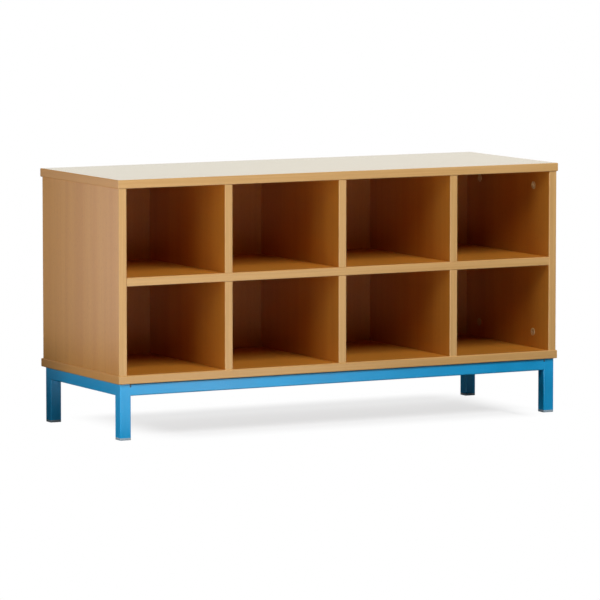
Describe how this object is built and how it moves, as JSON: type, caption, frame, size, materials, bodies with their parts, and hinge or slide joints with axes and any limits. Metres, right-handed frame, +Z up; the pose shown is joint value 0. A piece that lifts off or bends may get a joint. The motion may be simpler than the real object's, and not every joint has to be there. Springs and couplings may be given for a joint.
{
  "type": "cloakroom bench",
  "caption": "Low cloakroom bench of beech-faced board, with two rows of open shoe compartments on a blue square-tube steel frame.",
  "frame": {"origin": "centre of the footprint, on the floor", "axes": "+X along the bench to the right of someone facing its open front, +Y from the open front to the back panel, +Z up"},
  "size_m": [1.05, 0.38, 0.54],
  "materials": {
    "beech_board": "satin melamine, beech print",
    "beech_edging": "satin, beech print",
    "blue_steel": "semi-gloss powder coat",
    "zinc": "zinc, bare",
    "dowel_wood": "bare beech",
    "grey_plastic": "moulded, fine grain"
  },
  "bodies": {
    "root": {"top_panel": "beech_board", "top_edging_front": "beech_edging", "top_edging_rear": "beech_edging", "top_edging_left": "beech_edging", "top_edging_right": "beech_edging", "base_panel": "beech_board", "base_edging_front": "beech_edging", "base_edging_rear": "beech_edging", "base_edging_left": "beech_edging", "base_edging_right": "beech_edging", "left_side_panel": "beech_board", "left_side_edging_front": "beech_edging", "left_side_edging_rear": "beech_edging", "right_side_panel": "beech_board", "right_side_edging_front": "beech_edging", "right_side_edging_rear": "beech_edging", "middle_shelf": "beech_board", "middle_shelf_edging": "beech_edging", "upper_divider_left": "beech_board", "upper_divider_left_edging": "beech_edging", "upper_divider_centre": "beech_board", "upper_divider_centre_edging": "beech_edging", "upper_divider_right": "beech_board", "upper_divider_right_edging": "beech_edging", "lower_divider_left": "beech_board", "lower_divider_left_edging": "beech_edging", "lower_divider_centre": "beech_board", "lower_divider_centre_edging": "beech_edging", "lower_divider_right": "beech_board", "lower_divider_right_edging": "beech_edging", "back_panel": "beech_board", "leg_front_left": "blue_steel", "foot_front_left": "grey_plastic", "leg_front_right": "blue_steel", "foot_front_right": "grey_plastic", "leg_rear_left": "blue_steel", "foot_rear_left": "grey_plastic", "leg_rear_right": "blue_steel", "foot_rear_right": "grey_plastic", "front_rail": "blue_steel", "rear_rail": "blue_steel", "left_rail": "blue_steel", "right_rail": "blue_steel", "weld_seams": "blue_steel", "cam_housings": "zinc", "cam_bolts": "zinc", "frame_screws": "zinc", "dowels": "dowel_wood"}
  },
  "joints": []
}
